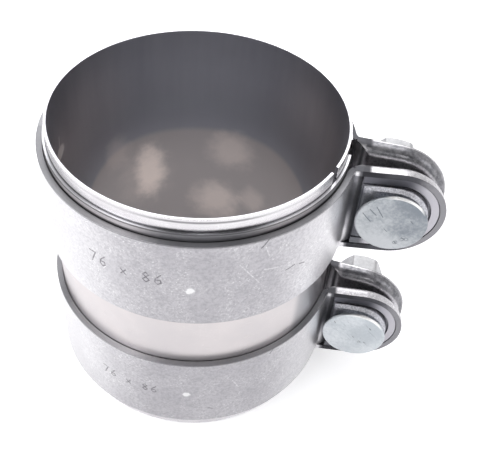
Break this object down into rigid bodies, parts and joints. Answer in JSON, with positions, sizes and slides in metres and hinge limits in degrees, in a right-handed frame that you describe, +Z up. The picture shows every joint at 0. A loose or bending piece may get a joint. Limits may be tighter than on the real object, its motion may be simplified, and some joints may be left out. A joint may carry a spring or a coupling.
{
  "type": "exhaust pipe clamp",
  "caption": "Wide exhaust clamp: a split sleeve of nested rolled sheets inside parallel band clamps whose dished, D-shaped ears are drawn together by round-headed bolts and flanged nuts.",
  "frame": {"origin": "on the sleeve's axis, in the plane of its lower edge", "axes": "+Z up along the sleeve's axis, +X roughly towards the ears, +Y towards the nuts' side"},
  "size_m": [0.1074, 0.0824, 0.086],
  "materials": {
    "sleeve_steel": "cold rolled stainless sheet, smooth, slightly brushed",
    "band_steel": "stainless strip with fine handling scratches",
    "insert_steel": "pressed steel plate, matte",
    "zinc_plated_steel": "blue passivated zinc plating, mottled"
  },
  "bodies": {
    "clamp": {"inner_sleeve": "sleeve_steel", "outer_sleeve": "sleeve_steel", "upper_band": "band_steel", "lower_band": "band_steel", "upper_front_insert": "insert_steel", "upper_rear_insert": "insert_steel", "lower_front_insert": "insert_steel", "lower_rear_insert": "insert_steel"},
    "upper_bolt": {"upper_bolt": "zinc_plated_steel"},
    "lower_bolt": {"lower_bolt": "zinc_plated_steel"},
    "upper_nut": {"upper_nut": "zinc_plated_steel"},
    "lower_nut": {"lower_nut": "zinc_plated_steel"}
  },
  "joints": [
    {"name": "upper_nut_turn", "type": "hinge", "parent": "clamp", "child": "upper_nut", "pos_m": [0.05154, -0.00946, 0.06615], "axis": [0.1805, 0.9836, 0], "range_deg": [0, 1440]},
    {"name": "upper_bolt_slide", "type": "slide", "parent": "clamp", "child": "upper_bolt", "axis": [-0.1805, -0.9836, 0], "range_m": [0, 0.005]},
    {"name": "lower_nut_turn", "type": "hinge", "parent": "clamp", "child": "lower_nut", "pos_m": [0.04967, -0.0111, 0.01985], "axis": [0.2181, 0.9759, 0], "range_deg": [0, 1440]},
    {"name": "lower_bolt_slide", "type": "slide", "parent": "clamp", "child": "lower_bolt", "axis": [-0.2181, -0.9759, 0], "range_m": [0, 0.005]}
  ],
  "couplings": [
    {"joint": "upper_bolt_slide", "follows": "upper_nut_turn", "m_per_rad": 0.00019894},
    {"joint": "lower_bolt_slide", "follows": "lower_nut_turn", "m_per_rad": 0.00019894}
  ]
}
